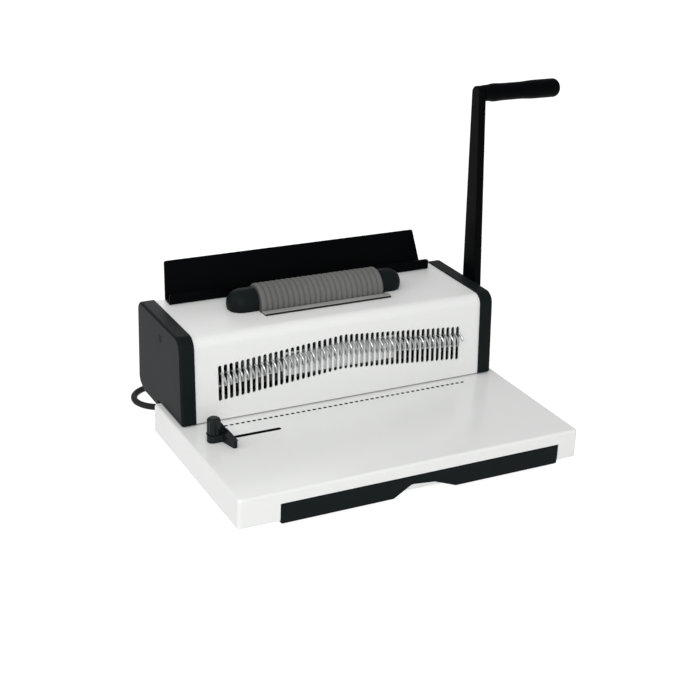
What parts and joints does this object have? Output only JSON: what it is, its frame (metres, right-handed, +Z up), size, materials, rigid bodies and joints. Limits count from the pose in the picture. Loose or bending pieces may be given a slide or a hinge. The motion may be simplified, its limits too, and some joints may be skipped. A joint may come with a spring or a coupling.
{
  "type": "coil binding machine",
  "caption": "Desktop coil binding machine: a side lever punches a row of holes, a rubber roller on top spins the wire coil in, a drawer catches chips.",
  "frame": {"origin": "on the surface that the machine stands on, under the middle of the machine's box without its cord", "axes": "+X to the machine's right (lever side) as the operator faces it, +Y to its back, +Z up; the front with the drawer faces -Y"},
  "size_m": [0.4926, 0.3657, 0.3559],
  "materials": {
    "white_plastic": "white, glossy moulded plastic",
    "white_paint": "white powder-coated sheet steel",
    "black_plastic": "black moulded plastic, satin",
    "black_paint": "black painted steel, satin",
    "roller_rubber": "grey-brown rubber, matt",
    "soft_rubber": "black rubber, matt",
    "steel": "bright steel",
    "dark_steel": "blackened steel",
    "brass": "turned brass"
  },
  "bodies": {
    "machine": {"base_shell": "white_plastic", "base_pan": "dark_steel", "foot_front_left": "soft_rubber", "foot_front_right": "soft_rubber", "foot_rear_left": "soft_rubber", "foot_rear_right": "soft_rubber", "drawer_rail_left": "black_plastic", "drawer_rail_right": "black_plastic", "die_plate": "steel", "guide_plate": "dark_steel", "paper_stop": "steel", "guide_pillar_left": "steel", "guide_pillar_right": "steel", "left_bush": "brass", "right_bush": "brass", "left_frame_plate": "steel", "right_frame_plate": "steel", "spring_hanger": "steel", "return_spring_left": "steel", "return_spring_right": "steel", "housing_cover": "white_paint", "left_cap": "black_plastic", "right_cap": "black_plastic", "left_cap_screw": "dark_steel", "right_cap_screw": "dark_steel", "binding_coil": "steel", "left_roller_block": "black_plastic", "right_roller_block": "black_plastic", "roller_lip": "steel", "roller_cradle": "steel", "roller_motor": "dark_steel", "drive_belt": "soft_rubber", "rest_trough": "black_paint", "switch_frame": "black_plastic", "strain_relief": "soft_rubber", "mains_cord": "soft_rubber", "cord_coil": "soft_rubber", "mains_plug": "soft_rubber"},
    "lever": {"cam_shaft": "steel", "left_cam": "dark_steel", "right_cam": "dark_steel", "lever_hub": "black_paint", "lever_arm": "black_paint", "lever_grip": "black_plastic"},
    "punch": {"punch_bar": "dark_steel"},
    "drawer": {"drawer_front": "black_plastic", "chip_tray": "steel", "tray_wall_front": "steel", "tray_wall_rear": "steel", "tray_wall_left": "steel", "tray_wall_right": "steel"},
    "guide": {"side_guide": "black_plastic", "guide_nut": "steel"},
    "knob": {"guide_knob": "black_plastic"},
    "roller": {"roller_sleeve": "roller_rubber", "roller_shaft": "steel", "roller_pulley": "brass"},
    "motor_rotor": {"motor_pulley": "brass"},
    "rocker": {"switch_rocker": "soft_rubber"}
  },
  "joints": [
    {"name": "lever_press", "type": "hinge", "parent": "machine", "child": "lever", "pos_m": [-0.0533, 0.0715, 0.084], "axis": [1, 0, 0], "range_deg": [0, 85.94], "stiffness_Nm_per_rad": 1, "springref_deg": -17.19},
    {"name": "punch_stroke", "type": "slide", "parent": "machine", "child": "punch", "axis": [0, 0, -1], "range_m": [0, 0.009], "deforming": ["return_spring_left", "return_spring_right"]},
    {"name": "drawer_pull", "type": "slide", "parent": "machine", "child": "drawer", "axis": [0, -1, 0], "range_m": [0, 0.17]},
    {"name": "guide_shift", "type": "slide", "parent": "machine", "child": "guide", "axis": [1, 0, 0], "range_m": [0, 0.072]},
    {"name": "knob_turn", "type": "hinge", "parent": "guide", "child": "knob", "pos_m": [-0.2208, -0.0285, 0.058], "axis": [0, 0, 1], "range_deg": [0, 360]},
    {"name": "roller_spin", "type": "hinge", "parent": "machine", "child": "roller", "pos_m": [-0.0533, 0.0807, 0.1372], "axis": [1, 0, 0], "continuous": true},
    {"name": "motor_spin", "type": "hinge", "parent": "machine", "child": "motor_rotor", "pos_m": [-0.1413, 0.1005, 0.0954], "axis": [1, 0, 0], "continuous": true},
    {"name": "switch_tip", "type": "hinge", "parent": "machine", "child": "rocker", "pos_m": [0.0667, 0.1374, 0.08], "axis": [-1, 0, 0], "range_deg": [0, 16]}
  ],
  "couplings": [
    {"joint": "punch_stroke", "follows": "lever_press", "m_per_rad": 0.006},
    {"joint": "motor_spin", "follows": "roller_spin", "ratio": 1}
  ]
}
